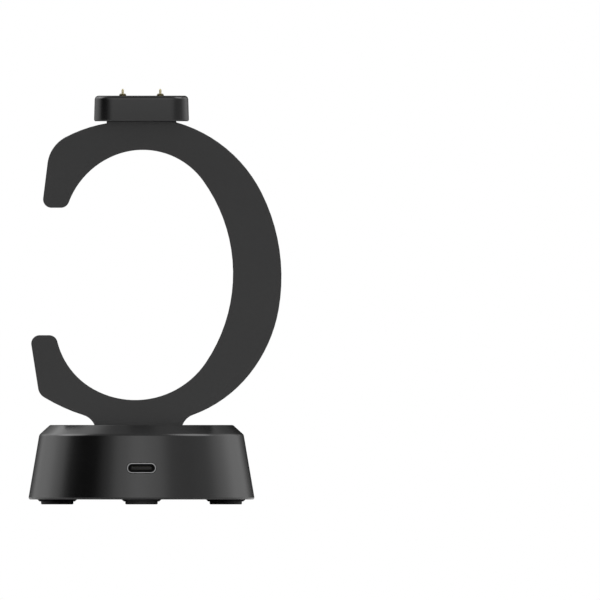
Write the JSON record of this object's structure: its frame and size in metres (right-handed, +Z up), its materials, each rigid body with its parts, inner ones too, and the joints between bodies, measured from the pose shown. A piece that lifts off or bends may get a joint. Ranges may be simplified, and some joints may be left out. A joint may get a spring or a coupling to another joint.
{
  "type": "smartwatch charging dock",
  "caption": "Charging dock for a smartwatch: round weighted base with a USB-C port, C-shaped arm for the strap, and a flat head with spring contacts.",
  "frame": {"origin": "on the table, on the axis of the round base, in the plane of the four rubber feet", "axes": "+Z up; -Y towards the side with the charging port; -X towards the mouth of the arm"},
  "size_m": [0.0781, 0.0698, 0.1282],
  "materials": {
    "black_shell": "fine satin moulded plastic",
    "foot_rubber": "matt",
    "pad_rubber": "soft matt silicone",
    "screw_steel": "zinc plated",
    "weight_steel": "rolled steel plate",
    "spring_steel": "drawn wire",
    "circuit_board": "green solder mask",
    "chip_black": "moulded packages",
    "socket_plastic": "natural nylon",
    "port_metal": "drawn stainless shell",
    "tongue_plastic": "moulded black",
    "contact_gold": "gold plated",
    "wire_red": "insulation",
    "wire_black": "insulation",
    "magnet_metal": "nickel plated"
  },
  "bodies": {
    "dock": {"base_housing": "black_shell", "bottom_cover": "black_shell", "foot_front": "foot_rubber", "foot_right": "foot_rubber", "foot_back": "foot_rubber", "foot_left": "foot_rubber", "cover_screws": "screw_steel", "steel_weight": "weight_steel", "base_board": "circuit_board", "board_parts": "chip_black", "board_screws": "screw_steel", "wire_socket": "socket_plastic", "port_shell": "port_metal", "port_tongue": "tongue_plastic", "port_contacts": "contact_gold", "arm_tray": "black_shell", "arm_cover": "black_shell", "arm_screws": "screw_steel", "wire_red": "wire_red", "wire_black": "wire_black", "head_plate": "black_shell", "head_housing": "black_shell", "watch_pad": "pad_rubber", "head_screws": "screw_steel", "neck_screws": "screw_steel", "head_board": "circuit_board", "magnet_left": "magnet_metal", "magnet_right": "magnet_metal", "pin_barrel_left": "contact_gold", "pin_barrel_right": "contact_gold", "pin_spring_left": "spring_steel", "pin_spring_right": "spring_steel"},
    "pin_left": {"pin_plunger_left": "contact_gold"},
    "pin_right": {"pin_plunger_right": "contact_gold"}
  },
  "joints": [
    {"name": "pin_left_press", "type": "slide", "parent": "dock", "child": "pin_left", "axis": [0, 0, -1], "range_m": [0, 0.001], "stiffness_N_per_m": 400, "deforming": ["pin_spring_left"]},
    {"name": "pin_right_press", "type": "slide", "parent": "dock", "child": "pin_right", "axis": [0, 0, -1], "range_m": [0, 0.001], "stiffness_N_per_m": 400, "deforming": ["pin_spring_right"]}
  ]
}
